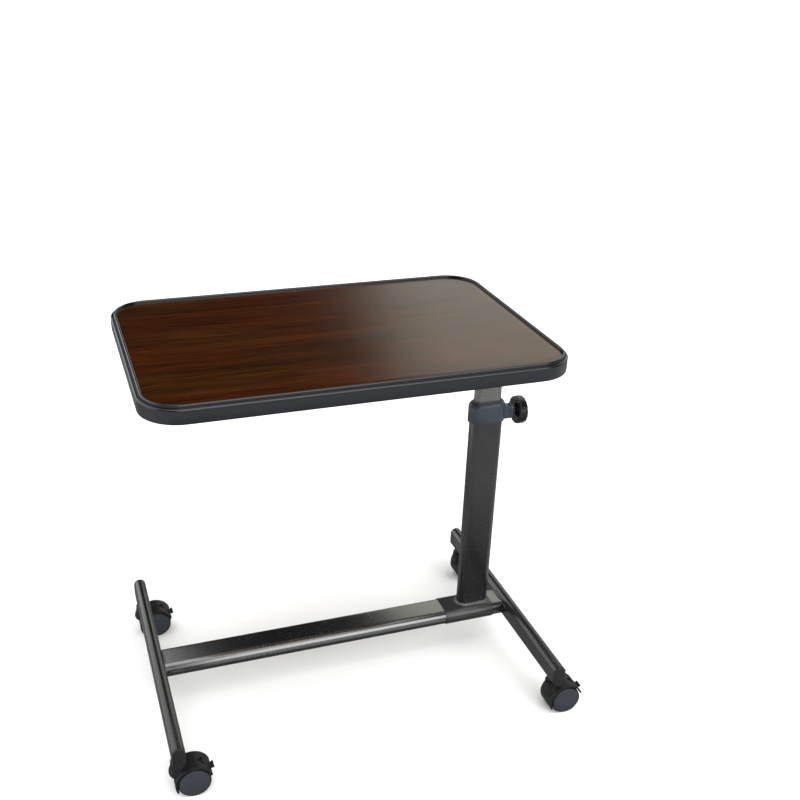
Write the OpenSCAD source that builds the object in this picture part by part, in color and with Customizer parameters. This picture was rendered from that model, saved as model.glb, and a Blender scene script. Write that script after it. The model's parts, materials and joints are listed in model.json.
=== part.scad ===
// Overbed table: a spill-edged top on a telescoping flat-oval column that stands
// on an H-shaped rolling base, locked at any height by a side clamp knob.
// Millimetres, +Z up, floor at z = 0, +X towards the column side.

/* [Table top] */
// Overall length of the top, along X
top_l = 609.6; // [580:0.1:640]
// Overall depth of the top, along Y
top_w = 406.4; // [380:0.1:430]
// Height of the rim above the floor, column fully lowered
top_h = 635; // [625:1:650]
// Corner radius of the rim, seen from above
corner_r = 57; // [45:1:65]
// Thickness of the core board
core_t = 14.2; // [13:0.2:15]
// Thickness of the decorative laminate on the core
laminate_t = 0.8; // [0.6:0.1:1]
// Offset of the top along X that centres the footprint on the origin
frame_x = -35.22; // [-40:0.01:-30]

/* [Base] */
// Left foot centre line, measured along X from the centre of the top
foot_left = -292; // [-300:1:-285]
// Right foot centre line, measured along X from the centre of the top
foot_right = 324; // [318:1:330]
// Overall length of each foot, end caps included
foot_l = 442; // [420:1:460]
// Width of the flat-oval foot tube
foot_w = 20; // [20:1:22]
// Height of the flat-oval foot tube
foot_h = 38; // [36:1:40]
// Underside of the foot tubes above the floor
foot_z = 63; // [63:1:66]
// Width of the cross bar, along Y
bar_w = 55; // [50:1:58]
// Height of the cross bar
bar_h = 26; // [24:1:28]
// Wall of every steel tube
wall = 1.5; // [1.2:0.1:1.8]
// Sheet thickness of the saddle that carries the column
saddle_t = 1.2; // [1:0.1:1.5]
// Left and right ends of the saddle, from the centre of the top
saddle_x = [205, 294]; // [200:1:300]

/* [Column] */
// Column centre, measured along X from the centre of the top
col_x = 262; // [258:1:264]
// Outer column section, along X
col_a = 56; // [54:1:58]
// Outer column section, along Y
col_b = 26; // [25:1:28]
// Top of the outer column above the floor
col_top = 483.8; // [470:0.1:495]
// Inner mast section, along X
mast_a = 46; // [45:1:46]
// Inner mast section, along Y
mast_b = 20; // [19:1:20]
// Height adjustment, from 25 in to 38 in
travel = 330.2; // [280:0.1:335]
// Height of the clamp screw above the floor
clamp_z = 463.5; // [460:0.5:466]

/* [Clamp knob] */
// Diameter over the knob's lobes
knob_d = 46; // [40:1:48]
// Thickness of the knob
knob_t = 15.5; // [14:0.5:18]
// Number of lobes
lobes = 8; // [6:1:9]

/* [Casters] */
// Wheel diameter
wheel_d = 50; // [48:1:50]
// Distance from the swivel axis to the wheel axle
trail = 21; // [20:0.5:22]
// Distance of each caster stem from the end of its foot
stem_in = 23; // [22:0.5:25]

/* [Hidden] */
$fn = 64;

rim_h = 26;                       // moulding height
lip_h = 3.2;                      // tray surface below the rim
tx = frame_x;                     // centre of the top
fl_x = frame_x + foot_left;
fr_x = frame_x + foot_right;
cx = frame_x + col_x;
surf_z = top_h - lip_h;           // tray surface
core_z = surf_z - laminate_t - core_t;
strap_t = 3;
rail_h = 22;
rail_y = 40;
rail_z = core_z - strap_t - rail_h;
rail_x = [tx - 130, cx + 32];
strap_x = [tx - 95, cx - 12];
bar_z = foot_z + foot_h/2;        // centre height of bar and feet
saddle_top = bar_z + bar_h/2 + saddle_t;
mast_z0 = saddle_top + 3;
clr = 0.3;                        // clearance between sliding parts
ax_z = wheel_d/2;
hood_r = wheel_d/2 + 4;
hood_ri = wheel_d/2 + 1.4;
hood_w = 37;
web_w = 10.4;
cap_t = 3.6;                      // foot cap, outside the tube
piv_a = 62;                       // brake pivot, degrees about the axle
piv_r = 23.5;

painted = [0.20, 0.20, 0.21];
black = [0.07, 0.07, 0.08];
steel = [0.62, 0.62, 0.64];

// flat-oval outline, a along the first axis and b along the second
module oval(a, b) {
  if (a > b) {
    square([a - b, b], center = true);
    for (s = [-1, 1]) translate([s*(a - b)/2, 0]) circle(d = b);
  } else {
    square([a, b - a], center = true);
    for (s = [-1, 1]) translate([0, s*(b - a)/2]) circle(d = a);
  }
}
module oval_ring(a, b, t) { difference() { oval(a, b); oval(a - 2*t, b - 2*t); } }
module rrect(a, b, r) {
  square([a - 2*r, b], center = true);
  square([a, b - 2*r], center = true);
  for (i = [-1, 1], j = [-1, 1]) translate([i*(a/2 - r), j*(b/2 - r)]) circle(r);
}
module rod_x(x0, x1, r) translate([x0, 0, 0]) rotate([0, 90, 0]) cylinder(h = x1 - x0, r = r);
module rod_y(y0, y1, r) translate([0, y1, 0]) rotate([90, 0, 0]) cylinder(h = y1 - y0, r = r);
// extrude an outline drawn in the YZ plane along X
module along_x(x0, x1) translate([x0, 0, 0]) rotate([90, 0, 90]) linear_extrude(x1 - x0) children();
// extrude an outline drawn in the XZ plane along Y, centred
module along_y(w) rotate([90, 0, 0]) linear_extrude(w, center = true) children();

// ---- table top ----
// moulding section: u runs inwards from the outer face, z upwards from the rim's underside
function arc(cu, cz, r, a0, a1, n) = [for (i = [0:n]) let (a = a0 + (a1 - a0)*i/n) [cu + r*cos(a), cz + r*sin(a)]];
board_u = 3;                      // board edge, in from the outer face
lip_u = 9.2;                      // inner edge of the lip
seat_z = 19.2;                    // rebate in the core's edge that takes the lip
core_r0 = rim_h - lip_h - laminate_t - core_t;
moulding_pts = concat(
  arc(1.2, 1.2, 1.2, 270, 180, 4),
  arc(2.0, 19.6, 2.0, 180, 62, 6),
  [[3.9, 20.6], [4.6, 20.9]],
  arc(6.9, 24.0, 2.0, 180, 0, 10),
  [[lip_u, seat_z], [board_u, seat_z], [board_u, 13.4], [11, 13.2], [11, 11.4], [board_u, 11.2], [board_u, 0]]);
module edge_moulding() color(black) translate([tx, 0, top_h - rim_h]) {
  x = top_l/2; y = top_w/2; r = corner_r;
  for (s = [0, 1]) {
    mirror([0, s, 0]) along_x(-(x - r), x - r) polygon([for (p = moulding_pts) [y - p[0], p[1]]]);
    mirror([s, 0, 0]) along_y(2*(y - r)) polygon([for (p = moulding_pts) [x - p[0], p[1]]]);
  }
  for (c = [[1, 1, 0], [-1, 1, 90], [-1, -1, 180], [1, -1, 270]])
    translate([c[0]*(x - r), c[1]*(y - r), 0]) rotate(c[2])
      rotate_extrude(angle = 90, $fn = 128) polygon([for (p = moulding_pts) [r - p[0], p[1]]]);
}
module board_outline(in = 0) rrect(top_l - 2*board_u - 2*in, top_w - 2*board_u - 2*in, corner_r - board_u - in);
module top_core() color([0.62, 0.47, 0.32]) translate([tx, 0, core_z]) difference() {
  linear_extrude(core_t) board_outline();
  translate([0, 0, 11 - core_r0]) linear_extrude(2.6) difference() { board_outline(-5); board_outline(8.4); }
  translate([0, 0, seat_z - core_r0]) linear_extrude(core_t) difference() { board_outline(-5); board_outline(lip_u + 0.1 - board_u); }
  for (p = screw_xy()) translate([p[0] - tx, p[1], -1]) cylinder(h = 12, r = 2.02);
}
module top_laminate() color([0.24, 0.12, 0.07]) translate([tx, 0, surf_z - laminate_t])
  linear_extrude(laminate_t) board_outline(lip_u + 0.1 - board_u);

function screw_xy() = [for (x = strap_x, y = [-150, -55, 55, 150]) [x, y]];
module cross_straps() color(painted) for (x = strap_x) difference() {
  translate([x, 0, core_z - strap_t]) linear_extrude(strap_t) rrect(30, 340, 6);
  for (p = screw_xy()) translate([p[0], p[1], core_z - 5]) cylinder(h = 8, r = 2.4);
}
module strap_screws() color(steel) for (p = screw_xy()) translate([p[0], p[1], 0]) difference() {
  union() {
    translate([0, 0, core_z - strap_t]) cylinder(h = strap_t + 10, r = 2);
    translate([0, 0, core_z - strap_t - 2.4]) rotate_extrude()
      polygon([[0, 0], [2.4, 0], [3.6, 0.8], [4, 2.4], [0, 2.4]]);
  }
  for (a = [0, 90]) rotate(a) translate([-2.2, -0.4, core_z - strap_t - 3]) cube([4.4, 0.8, 1.6]);
}
module support_rail() color(painted) along_x(rail_x[0], rail_x[1]) translate([0, rail_z + rail_h/2])
  difference() { rrect(rail_y, rail_h, 3); rrect(rail_y - 2*wall, rail_h - 2*wall, 1.6); }
module rail_end_caps() color(black) for (s = [0, 1]) translate([rail_x[s], 0, rail_z + rail_h/2]) mirror([1 - s, 0, 0]) {
  along_x(0, 2) rrect(rail_y, rail_h, 3);
  along_x(-12, 0) difference() { rrect(rail_y - 2*wall - 0.2, rail_h - 2*wall - 0.2, 1.5); rrect(rail_y - 2*wall - 4, rail_h - 2*wall - 4, 1); }
}

// ---- telescoping column ----
module inner_mast() color([0.38, 0.38, 0.37]) translate([cx, 0, mast_z0]) linear_extrude(rail_z - mast_z0) oval_ring(mast_a, mast_b, wall);
// fillet bead of leg s around an oval of size a, b, standing on z = 0
module oval_bead(a, b, s) {
  for (m = [-1, 1]) {
    translate([m*(a - b)/2, 0, 0]) rotate(m > 0 ? -90 : 90) rotate_extrude(angle = 180)
      polygon([[b/2, 0], [b/2 + s, 0], [b/2 + 0.62*s, 0.35*s], [b/2 + 0.35*s, 0.62*s], [b/2, s]]);
    along_x(-(a - b)/2, (a - b)/2) polygon([for (p = [[b/2, 0], [b/2 + s, 0], [b/2 + 0.62*s, 0.35*s], [b/2 + 0.35*s, 0.62*s], [b/2, s]]) [m*p[0], p[1]]]);
  }
}
module mast_weld() color(painted) translate([cx, 0, rail_z]) mirror([0, 0, 1]) oval_bead(mast_a, mast_b, 3.5);
module mast_foot_plug() color(black) translate([cx, 0, mast_z0]) {
  translate([0, 0, -2.5]) linear_extrude(2.5) oval(col_a - 2*wall - 2*clr, col_b - 2*wall - 2*clr);
  linear_extrude(22) oval_ring(mast_a - 2*wall - 0.2, mast_b - 2*wall - 0.2, 2);
}
module outer_column() color(painted) difference() {
  translate([cx, 0, saddle_top]) linear_extrude(col_top - saddle_top) oval_ring(col_a, col_b, wall);
  translate([0, 0, clamp_z]) rod_x(cx + 20, cx + 40, 6.3);
}
module column_bush() color([0.16, 0.16, 0.17]) difference() {
  translate([cx, 0, 0]) {
    translate([0, 0, col_top - 34]) linear_extrude(34) oval(col_a - 2*wall - 0.2, col_b - 2*wall - 0.2);
    translate([0, 0, col_top]) linear_extrude(5.6) oval(mast_a + 2*clr + 2.4, mast_b + 2*clr + 2.4);
  }
  translate([cx, 0, col_top - 40]) linear_extrude(60) oval(mast_a + 2*clr, mast_b + 2*clr);
  translate([0, 0, clamp_z]) rod_x(cx + 18, cx + 40, 6.3);
}
col_bot = col_top - 30;           // collar's lower edge
module collar_shell() {
  translate([cx, 0, col_bot]) linear_extrude(col_top - 3 - col_bot) oval(col_a + 6, col_b + 6);
  translate([cx, 0, 0]) hull() {
    translate([0, 0, col_top - 3.01]) linear_extrude(0.01) oval(col_a + 6, col_b + 6, $fn = 48);
    translate([0, 0, col_top + 1.7]) linear_extrude(0.01) oval(col_a - 1, col_b + 0.2, $fn = 48);
  }
  along_x(cx + col_a/2, cx + 37.4) translate([0, clamp_z]) rrect(18, 23, 5);
  along_x(cx + 37.4, cx + 38.8) translate([0, clamp_z]) rrect(16, 21, 4);
  along_x(cx + 38.8, cx + 46) translate([0, clamp_z]) rrect(18, 23, 5);
}
module column_collar() color([0.14, 0.15, 0.17]) difference() {
  collar_shell();
  translate([cx, 0, col_bot - 1]) linear_extrude(31.1) oval(col_a + 0.1, col_b + 0.1);
  translate([cx, 0, col_top - 1]) linear_extrude(5) oval(mast_a + 2*clr + 2.6, mast_b + 2*clr + 2.6);
  translate([0, 0, clamp_z]) {
    rod_x(cx + 20, cx + 31.3, 6.3);
    rod_x(cx + 30, cx + 50, 4.4);
    along_x(cx + 38.9, cx + 47) circle(d = 13.2/cos(30), $fn = 6);
  }
}
module clamp_nut() color(steel) translate([0, 0, clamp_z]) difference() {
  along_x(cx + 39, cx + 45.5) circle(d = 13/cos(30), $fn = 6);
  rod_x(cx + 38, cx + 47, 4.0);
}
module clamp_pad() color([0.75, 0.73, 0.66]) difference() {
  translate([0, 0, clamp_z]) rod_x(cx + 19, cx + 28.5, 6);
  translate([cx + (mast_a - mast_b)/2, 0, clamp_z - 10]) cylinder(h = 20, r = mast_b/2 + clr);
  translate([0, 0, clamp_z]) rod_x(cx + 26, cx + 30, 4.0);
}
module clamp_stud() color(steel) translate([0, 0, clamp_z]) {
  rod_x(cx + 26.2, cx + 62, 3.95);
}
module clamp_knob() color(black) translate([cx + 50, 0, clamp_z]) rotate([0, 90, 0]) difference() {
  intersection() {
    linear_extrude(knob_t) difference() {
      circle(d = knob_d);
      for (i = [0:lobes - 1]) rotate((i + 0.5)*360/lobes) translate([knob_d/2 + 1.1, 0]) circle(2.7);
    }
    rotate(180/lobes) cylinder(h = knob_t, r = (knob_d/2 - 0.7)/cos(180/lobes), $fn = lobes);
    rotate_extrude() polygon(concat([[0, 0]], arc(knob_d/2 - 2.5, 2.5, 2.5, 270, 360, 5),
      arc(knob_d/2 - 3.5, knob_t - 3.5, 3.5, 0, 90, 6), [[10, knob_t], [8.5, knob_t - 1.2], [0, knob_t - 1.2]]));
  }
  translate([0, 0, -1]) cylinder(h = 13, r = 3.97);
}

// ---- base ----
module foot(x) color(painted) translate([x, 0, bar_z]) difference() {
  rotate([90, 0, 0]) linear_extrude(foot_l - 2*cap_t, center = true) oval_ring(foot_w, foot_h, wall);
  for (s = [-1, 1]) translate([0, s*(foot_l/2 - stem_in), -foot_h]) cylinder(h = foot_h, r = 8.02);
}
module left_foot() foot(fl_x);
module right_foot() foot(fr_x);
module foot_end_caps() color(black) for (x = [fl_x, fr_x], s = [-1, 1])
  translate([x, s*(foot_l/2 - cap_t), bar_z]) mirror([0, s < 0 ? 1 : 0, 0]) rotate([-90, 0, 0]) {
    linear_extrude(0.6) oval(foot_w - 1.4, foot_h - 1.4);
    translate([0, 0, 0.6]) linear_extrude(cap_t - 1.4) oval(foot_w, foot_h);
    translate([0, 0, cap_t - 0.8]) linear_extrude(0.8) oval(foot_w - 1.6, foot_h - 1.6);
    translate([0, 0, -11]) linear_extrude(11) oval_ring(foot_w - 2*wall - 0.2, foot_h - 2*wall - 0.2, 2);
  }
module cross_bar() color(painted) along_x(fl_x + foot_w/2, fr_x - foot_w/2) translate([0, bar_z]) oval_ring(bar_w, bar_h, wall);
module column_saddle() color(painted) along_x(tx + saddle_x[0], tx + saddle_x[1]) translate([0, bar_z])
  difference() { oval(bar_w + 2*saddle_t, bar_h + 2*saddle_t); oval(bar_w + 0.02, bar_h + 0.02); }
module base_welds() color([0.45, 0.46, 0.48]) {
  translate([cx, 0, saddle_top]) oval_bead(col_a, col_b, 4);
  // two beads along the flats of each end of the cross bar
  for (e = [[fl_x + foot_w/2, 1], [fr_x - foot_w/2, -1]], s = [-1, 1])
    translate([e[0], 0, bar_z + s*bar_h/2]) rotate([90, 0, 0]) linear_extrude(bar_w - bar_h - 1, center = true)
      polygon([[-0.8*e[1], 0], [3*e[1], 0], [1.2*e[1], s*1.6], [-0.2*e[1], s*2.4], [-1.6*e[1], s*2.6]]);
}
stem_pts = [[fl_x, -1], [fr_x, -1], [fl_x, 1], [fr_x, 1]];
function stem_y(s) = s*(foot_l/2 - stem_in);
module stem_sockets() color(steel) for (p = stem_pts) translate([p[0], stem_y(p[1]), 0]) difference() {
  union() {
    translate([0, 0, foot_z - 2]) cylinder(h = 34, r = 8);
    translate([0, 0, foot_z - 2]) cylinder(h = 2, r = 9.6);
  }
  translate([0, 0, foot_z - 3]) cylinder(h = 40, r = 5.55);
}

// ---- casters: origin on the floor under the stem, wheels trailing towards +X ----
module at_caster(i) translate([stem_pts[i][0], stem_y(stem_pts[i][1]), 0]) children();
module caster_stem() color(steel) difference() {
  union() {
    translate([0, 0, 48.5]) cylinder(h = foot_z + 29 - 48.5, r = 5.5);
    translate([0, 0, foot_z - 3]) cylinder(h = 0.7, r = 8.5);
  }
  translate([0, 0, foot_z + 22]) rotate_extrude() translate([4.9, 0]) square([3, 2.4]);
}
module sector(a0, a1, r) polygon(concat([[0, 0]], [for (a = [a0:(a1 - a0)/12:a1 + 0.01]) r*[cos(a), sin(a)]]));
module caster_hood() color([0.09, 0.09, 0.10]) difference() {
  union() {
    translate([trail, 0, ax_z]) along_y(hood_w) intersection() {
      difference() { circle(hood_r, $fn = 96); circle(hood_ri, $fn = 96); }
      sector(20, 207, 80);
    }
    translate([trail, 0, ax_z]) along_y(web_w) intersection() {
      circle(hood_ri + 0.5, $fn = 96);
      translate([-60, -10]) square([120, 80]);
    }
    rotate_extrude() polygon(concat([[0, 34], [10.5, 34], [14, 36.5]],
      [for (t = [0:8]) [14.6 - 3.4*(1 - cos(22.5*t))/2, 40 + 16*t/8]],
      [[11.2, foot_z - 3.2], [0, foot_z - 3.2]]));
  }
  // wheel spaces
  for (s = [-1, 1]) translate([trail, s*(web_w/2 + 15), ax_z]) along_y(30) circle(hood_ri, $fn = 96);
  translate([trail, 0, ax_z]) rod_y(-10, 10, 3.0);
  translate([0, 0, 48.4]) cylinder(h = 30, r = 5.5);
  // slot for the brake pedal
  translate([trail, 0, ax_z]) {
    along_y(12.4) intersection() { difference() { circle(60); circle(hood_ri - 0.4); } sector(10, 66, 80); }
    along_y(12.4) intersection() { difference() { circle(60); circle(19.5); } sector(2, 50, 80); }
    along_y(5.4) intersection() { difference() { circle(60); circle(19); } sector(40, 74, 80); }
    translate([piv_r*cos(piv_a), 0, piv_r*sin(piv_a)]) rod_y(-5.6, 5.6, 1.55);
  }
}
module caster_axle() color(steel) translate([trail, 0, ax_z]) rod_y(-16.8, 16.8, 3.0);
// side -1 is the wheel towards -Y
module caster_wheel(side) color([0.24, 0.25, 0.29]) translate([trail, 0, ax_z]) rotate([side > 0 ? -90 : 90, 0, 0])
  rotate_extrude($fn = 96) polygon(concat(
    [[3.05, 6.3], [21.6, 6.3], [24.2, 6.9], [25, 8.2]],
    [[25, 15.8], [24.6, 17.5], [23.7, 18.3], [23.3, 18.0], [23.0, 18.0], [22.9, 18.5]],
    [for (r = [20:-2.5:5]) [r, 20 - 1.5*pow(r/22.9, 2)]], [[0, 20], [0, 17], [3.05, 17]]));
module caster_pedal() color([0.06, 0.06, 0.07]) translate([trail, 0, ax_z]) {
  along_y(11.2) difference() {
    union() {
      intersection() { difference() { circle(29.4, $fn = 96); circle(27, $fn = 96); } sector(21, 57, 80); }
      polygon([for (p = [[27, 22], [34, 19.5], [34.6, 24], [33, 28.5], [31.8, 27.6], [32, 24.2], [29.2, 28]]) p[0]*[cos(p[1]), sin(p[1])]]);
    }
  }
  along_y(4.8) {
    translate(piv_r*[cos(piv_a), sin(piv_a)]) circle(3);
    intersection() { difference() { circle(29.0); circle(21.4); } sector(50, 62, 80); }
  }
  translate([piv_r*cos(piv_a), 0, piv_r*sin(piv_a)]) rod_y(-5, 5, 1.5);
}

module fl_stem() at_caster(0) caster_stem();
module fl_hood() at_caster(0) caster_hood();
module fl_axle() at_caster(0) caster_axle();
module fl_wheel_a() at_caster(0) caster_wheel(-1);
module fl_wheel_b() at_caster(0) caster_wheel(1);
module fl_pedal() at_caster(0) caster_pedal();
module fr_stem() at_caster(1) caster_stem();
module fr_hood() at_caster(1) caster_hood();
module fr_axle() at_caster(1) caster_axle();
module fr_wheel_a() at_caster(1) caster_wheel(-1);
module fr_wheel_b() at_caster(1) caster_wheel(1);
module fr_pedal() at_caster(1) caster_pedal();
module rl_stem() at_caster(2) caster_stem();
module rl_hood() at_caster(2) caster_hood();
module rl_axle() at_caster(2) caster_axle();
module rl_wheel_a() at_caster(2) caster_wheel(-1);
module rl_wheel_b() at_caster(2) caster_wheel(1);
module rl_pedal() at_caster(2) caster_pedal();
module rr_stem() at_caster(3) caster_stem();
module rr_hood() at_caster(3) caster_hood();
module rr_axle() at_caster(3) caster_axle();
module rr_wheel_a() at_caster(3) caster_wheel(-1);
module rr_wheel_b() at_caster(3) caster_wheel(1);
module rr_pedal() at_caster(3) caster_pedal();

top_laminate();
top_core();
edge_moulding();
support_rail();
rail_end_caps();
cross_straps();
strap_screws();
inner_mast();
mast_weld();
mast_foot_plug();
outer_column();
column_bush();
column_collar();
clamp_nut();
clamp_pad();
clamp_stud();
clamp_knob();
cross_bar();
column_saddle();
base_welds();
left_foot();
right_foot();
foot_end_caps();
stem_sockets();
fl_stem();
fl_hood();
fl_axle();
fl_wheel_a();
fl_wheel_b();
fl_pedal();
fr_stem();
fr_hood();
fr_axle();
fr_wheel_a();
fr_wheel_b();
fr_pedal();
rl_stem();
rl_hood();
rl_axle();
rl_wheel_a();
rl_wheel_b();
rl_pedal();
rr_stem();
rr_hood();
rr_axle();
rr_wheel_a();
rr_wheel_b();
rr_pedal();
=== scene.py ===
import json
import math

import bmesh
import bpy
import numpy as np
from mathutils import Matrix, Vector

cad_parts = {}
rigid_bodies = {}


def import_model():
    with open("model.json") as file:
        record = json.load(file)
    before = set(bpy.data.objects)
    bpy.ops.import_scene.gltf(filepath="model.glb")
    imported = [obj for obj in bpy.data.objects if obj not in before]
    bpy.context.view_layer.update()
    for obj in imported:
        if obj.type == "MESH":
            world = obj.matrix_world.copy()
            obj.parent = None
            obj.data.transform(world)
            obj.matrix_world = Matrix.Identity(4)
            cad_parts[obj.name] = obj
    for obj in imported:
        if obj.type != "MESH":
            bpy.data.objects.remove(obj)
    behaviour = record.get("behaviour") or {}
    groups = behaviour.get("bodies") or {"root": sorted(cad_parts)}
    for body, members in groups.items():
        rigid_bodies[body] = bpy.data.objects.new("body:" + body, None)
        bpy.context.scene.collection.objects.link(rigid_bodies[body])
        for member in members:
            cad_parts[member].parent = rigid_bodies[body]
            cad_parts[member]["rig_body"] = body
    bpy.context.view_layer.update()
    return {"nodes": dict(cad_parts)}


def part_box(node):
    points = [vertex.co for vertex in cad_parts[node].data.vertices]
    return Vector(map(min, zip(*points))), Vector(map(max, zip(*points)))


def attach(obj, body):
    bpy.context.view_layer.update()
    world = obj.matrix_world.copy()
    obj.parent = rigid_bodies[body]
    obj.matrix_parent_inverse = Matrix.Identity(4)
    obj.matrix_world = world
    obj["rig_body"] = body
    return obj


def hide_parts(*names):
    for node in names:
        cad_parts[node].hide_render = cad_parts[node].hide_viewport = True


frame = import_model()
MM = 0.001
rad = math.radians


# ------------------------------------------------------------------ places, in mm, from the CAD nodes
def mmbox(node):
    lo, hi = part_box(node)
    return np.array(lo) * 1000, np.array(hi) * 1000


lo, hi = mmbox("edge_moulding")
TX, TOP_L, TOP_W, RIM_Z0, TOP_H = (lo[0] + hi[0]) / 2, hi[0] - lo[0], hi[1] - lo[1], lo[2], hi[2]
lo, hi = mmbox("top_laminate")
SURF_Z, LAM_Z = hi[2], lo[2]
lo, hi = mmbox("top_core")
CORE_Z = lo[2]
lo, hi = mmbox("outer_column")
CX, COL_A, COL_B, COL_Z0, COL_Z1 = (lo[0] + hi[0]) / 2, hi[0] - lo[0], hi[1] - lo[1], lo[2], hi[2]
lo, hi = mmbox("inner_mast")
MAST_A, MAST_B, MAST_Z0, MAST_Z1 = hi[0] - lo[0], hi[1] - lo[1], lo[2], hi[2]
lo, hi = mmbox("clamp_stud")
CLAMP_Z, STUD_X0, STUD_X1, STUD_R = (lo[2] + hi[2]) / 2, lo[0], hi[0], (hi[2] - lo[2]) / 2
lo, hi = mmbox("clamp_knob")
KNOB_X0, KNOB_X1, KNOB_R = lo[0], hi[0], (hi[2] - lo[2]) / 2
lo, hi = mmbox("support_rail")
RAIL_X0, RAIL_X1, RAIL_W, RAIL_Z0, RAIL_Z1 = lo[0], hi[0], hi[1] - lo[1], lo[2], hi[2]
lo, hi = mmbox("cross_bar")
BAR_X0, BAR_X1, BAR_W, BAR_Z0, BAR_Z1 = lo[0], hi[0], hi[1] - lo[1], lo[2], hi[2]
BAR_Z, BAR_H = (BAR_Z0 + BAR_Z1) / 2, BAR_Z1 - BAR_Z0
lo, hi = mmbox("column_saddle")
SAD_X0, SAD_X1, SAD_W, SAD_H = lo[0], hi[0], hi[1] - lo[1], hi[2] - lo[2]
FEET = {}
for side in ("left", "right"):
    lo, hi = mmbox(side + "_foot")
    FEET[side] = (lo[0] + hi[0]) / 2
FOOT_W, FOOT_Y, FOOT_Z0, FOOT_Z1 = hi[0] - lo[0], hi[1], lo[2], hi[2]
FOOT_H = FOOT_Z1 - FOOT_Z0
WALL = 1.5
CAST = {}
for c in ("fl", "fr", "rl", "rr"):
    lo, hi = mmbox(c + "_stem")
    CAST[c] = ((lo[0] + hi[0]) / 2, (lo[1] + hi[1]) / 2)
lo, hi = mmbox("fl_axle")
TRAIL, AX_Z = (lo[0] + hi[0]) / 2 - CAST["fl"][0], (lo[2] + hi[2]) / 2


# ------------------------------------------------------------------ mesh helpers
def arcp(cu, cz, r, a0, a1, n):
    """Points on an arc, degrees."""
    return [(cu + r * math.cos(rad(a0 + (a1 - a0) * i / n)), cz + r * math.sin(rad(a0 + (a1 - a0) * i / n))) for i in range(n + 1)]


def oval_o(a, b, n=20, flat=1):
    """Stadium outline a by b: (points, outward normals)."""
    big, small = max(a, b), min(a, b)
    c, r = (big - small) / 2, small / 2
    P, N = [], []
    for s in (1, -1):
        for i in range(n + 1):
            t = rad(-90 + 180 * i / n)
            nx, ny = s * math.cos(t), s * math.sin(t)
            P.append((s * c + r * nx, r * ny))
            N.append((nx, ny))
        for k in range(1, flat):
            f = k / flat
            P.append((s * c * (1 - 2 * f), s * r))
            N.append((0, s))
    P, N = np.array(P), np.array(N)
    if a < b:
        P, N = np.stack([P[:, 1], -P[:, 0]], 1), np.stack([N[:, 1], -N[:, 0]], 1)
    return P, N


def rrect_o(a, b, r, n=8, fx=1, fy=1):
    P, N = [], []
    for k, (sx, sy) in enumerate(((1, 1), (-1, 1), (-1, -1), (1, -1))):
        for i in range(n + 1):
            t = rad(90 * k + 90 * i / n)
            nx, ny = math.cos(t), math.sin(t)
            P.append((sx * (a / 2 - r) + r * nx, sy * (b / 2 - r) + r * ny))
            N.append((nx, ny))
        m = fx if k % 2 == 0 else fy
        end = {0: (-(a / 2 - r), b / 2), 1: (-a / 2, -(b / 2 - r)), 2: (a / 2 - r, -b / 2), 3: (a / 2, b / 2 - r)}[k]
        start = P[-1]
        for j in range(1, m):
            f = j / m
            P.append((start[0] + (end[0] - start[0]) * f, start[1] + (end[1] - start[1]) * f))
            N.append(N[-1])
    return np.array(P), np.array(N)


def circle_o(n=48):
    t = np.linspace(0, 2 * np.pi, n, endpoint=False)
    N = np.stack([np.cos(t), np.sin(t)], 1)
    return N * 0, N


def even_o(o, n):
    """The outline resampled to n evenly spaced points."""
    P, N = o
    Q = np.vstack([P, P[:1]])
    M = np.vstack([N, N[:1]])
    s = np.concatenate([[0], np.cumsum(np.linalg.norm(np.diff(Q, axis=0), axis=1))])
    t = np.linspace(0, s[-1], n, endpoint=False)
    P2 = np.stack([np.interp(t, s, Q[:, k]) for k in (0, 1)], 1)
    N2 = np.stack([np.interp(t, s, M[:, k]) for k in (0, 1)], 1)
    return P2, N2 / np.linalg.norm(N2, axis=1)[:, None]


def ring(o, d, h, axis="z", at=(0, 0, 0)):
    """One ring of the outline set in by d, at height h along the axis."""
    P, N = o
    q = P - N * np.asarray(d).reshape(-1, 1)
    h = np.zeros(len(q)) + h
    a, b = q[:, 0], q[:, 1]
    w = {"z": (a, b, h), "x": (h, a, b), "y": (a, h, b)}[axis]
    return np.stack(w, 1) + np.asarray(at, float)


def skin(rings, closed=False, caps=(True, True), ring_closed=True):
    n, m = len(rings[0]), len(rings)
    faces = []
    for i in range(m if closed else m - 1):
        a, b = i * n, ((i + 1) % m) * n
        for j in range(n if ring_closed else n - 1):
            k = (j + 1) % n
            faces.append((a + j, a + k, b + k, b + j))
    if closed and not ring_closed:
        faces.append(tuple(i * n for i in range(m)))
        faces.append(tuple(i * n + n - 1 for i in range(m))[::-1])
    if not closed:
        if caps[0]:
            faces.append(tuple(range(n))[::-1])
        if caps[1]:
            faces.append(tuple(range((m - 1) * n, m * n)))
    return np.concatenate(rings), faces


def loft(o, prof, axis="z", at=(0, 0, 0), closed=False, caps=(True, True)):
    return skin([ring(o, d, h, axis, at) for d, h in prof], closed, caps)


def tube(o, wall, h0, h1, axis="z", at=(0, 0, 0), e=0.35):
    prof = [(e, h0), (e * 0.3, h0 + e * 0.3), (0, h0 + e), (0, h1 - e), (e * 0.3, h1 - e * 0.3), (e, h1),
            (wall - e * 0.6, h1), (wall, h1 - e * 0.6), (wall, h0 + e * 0.6), (wall - e * 0.6, h0)]
    return loft(o, prof, axis, at, closed=True)


def revolve(prof, n=64, axis="z", at=(0, 0, 0), closed=False):
    """prof holds (radius, height)."""
    return loft(circle_o(n), [(-r, h) for r, h in prof], axis, at, closed=closed, caps=(prof[0][0] > 1e-6, prof[-1][0] > 1e-6))


def join(*parts):
    V, F, k = [], [], 0
    for v, f in parts:
        V.append(v)
        F += [tuple(i + k for i in x) for x in f]
        k += len(v)
    return np.concatenate(V), F


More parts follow.
